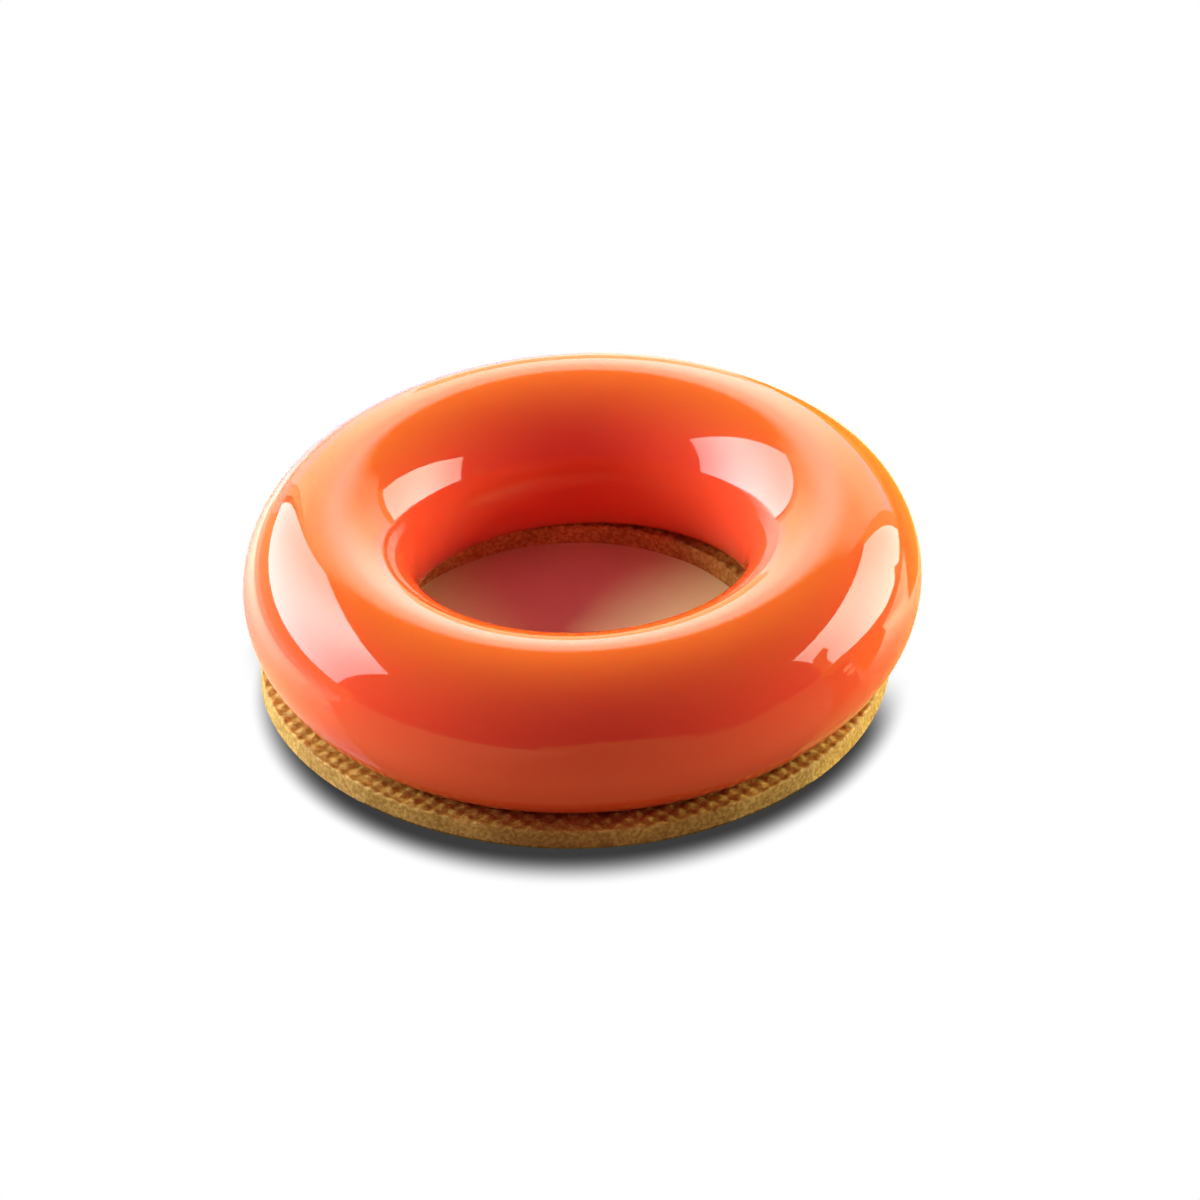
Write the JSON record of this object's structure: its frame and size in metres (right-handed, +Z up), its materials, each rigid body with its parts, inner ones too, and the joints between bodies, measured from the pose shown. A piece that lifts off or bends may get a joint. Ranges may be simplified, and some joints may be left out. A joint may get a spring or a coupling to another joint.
{
  "type": "ring-shaped entremet",
  "caption": "Ring-shaped mousse cake under a smooth orange mirror glaze, laid on a thin flat shortbread ring, open through the middle.",
  "frame": {"origin": "on the axis of the glazed ring, in the plane the biscuit stands on", "axes": "+Z up along the axis of the glazed ring; the near side of the cake faces -Y"},
  "size_m": [0.18, 0.18, 0.0493],
  "materials": {
    "orange_mirror_glaze": "wet-looking mirror glaze over set mousse, slightly translucent",
    "baked_shortbread": "dry golden baked crumb, embossed on top by a perforated baking mat"
  },
  "bodies": {
    "root": {"biscuit_base": "baked_shortbread", "glazed_ring": "orange_mirror_glaze"}
  },
  "joints": []
}
